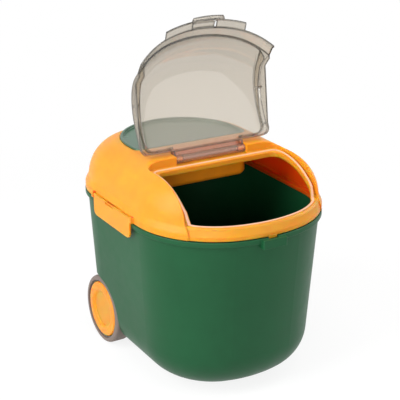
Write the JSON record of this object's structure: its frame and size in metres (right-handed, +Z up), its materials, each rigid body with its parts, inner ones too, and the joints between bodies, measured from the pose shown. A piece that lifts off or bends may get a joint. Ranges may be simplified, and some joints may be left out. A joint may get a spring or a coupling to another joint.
{
  "type": "wheeled feed bin",
  "caption": "Rounded plastic feed bin on rear wheels with a clip-on dome lid, a see-through flip lid over the mouth, a covered scoop tray and side latches.",
  "frame": {"origin": "on the floor, under the middle of the outer box", "axes": "+Z up, -Y to the front where the mouth and the catch are, +X to the right seen from the front"},
  "size_m": [0.31, 0.3908, 0.5403],
  "materials": {
    "green_plastic": "satin moulded plastic with a fine texture",
    "orange_plastic": "smooth satin moulded plastic",
    "smoky_plastic": "clear smoky brown, polished",
    "seal_rubber": "matt, pale",
    "tyre_grey": "matt warm grey",
    "wheel_core": "moulded, matt",
    "black_rubber": "matt",
    "steel": "drawn wire"
  },
  "bodies": {
    "bin": {"bin_body": "green_plastic", "foot_pad_left": "black_rubber", "foot_pad_right": "black_rubber", "axle_pin_left": "steel", "axle_pin_right": "steel", "axle_washer_left": "wheel_core", "axle_washer_right": "wheel_core", "axle_retainer_left": "steel", "axle_retainer_right": "steel"},
    "lid": {"lid_dome": "orange_plastic", "lid_rim_seal": "black_rubber", "opening_seal": "seal_rubber", "storage_well": "orange_plastic", "latch_pin_left": "orange_plastic", "latch_pin_right": "orange_plastic"},
    "flip_lid": {"flip_lid": "smoky_plastic", "hinge_pin_left": "orange_plastic", "hinge_pin_right": "orange_plastic"},
    "well_cover": {"well_cover": "green_plastic"},
    "latch_left": {"latch_left": "orange_plastic"},
    "latch_right": {"latch_right": "orange_plastic"},
    "wheel_left": {"wheel_tyre_left": "tyre_grey", "wheel_rim_left": "wheel_core", "hub_cover_left": "orange_plastic"},
    "wheel_right": {"wheel_tyre_right": "tyre_grey", "wheel_rim_right": "wheel_core", "hub_cover_right": "orange_plastic"}
  },
  "joints": [
    {"name": "lid_lift", "type": "slide", "parent": "bin", "child": "lid", "axis": [0, 0, 1], "range_m": [0, 0.12]},
    {"name": "flip_lid_hinge", "type": "hinge", "parent": "lid", "child": "flip_lid", "pos_m": [0, -0.0131, 0.3315], "axis": [1, 0, 0], "range_deg": [0, 117]},
    {"name": "latch_left_hinge", "type": "hinge", "parent": "lid", "child": "latch_left", "pos_m": [-0.1526, 0.0139, 0.267], "axis": [0, 1, 0], "range_deg": [0, 110]},
    {"name": "latch_right_hinge", "type": "hinge", "parent": "lid", "child": "latch_right", "pos_m": [0.1526, 0.0139, 0.267], "axis": [0, -1, 0], "range_deg": [0, 110]},
    {"name": "well_cover_lift", "type": "slide", "parent": "lid", "child": "well_cover", "axis": [0, 0, 1], "range_m": [0, 0.06]},
    {"name": "wheel_left_spin", "type": "hinge", "parent": "bin", "child": "wheel_left", "pos_m": [-0.115, 0.10055, 0.0557], "axis": [1, 0, 0], "continuous": true},
    {"name": "wheel_right_spin", "type": "hinge", "parent": "bin", "child": "wheel_right", "pos_m": [0.115, 0.10055, 0.0557], "axis": [1, 0, 0], "continuous": true}
  ]
}
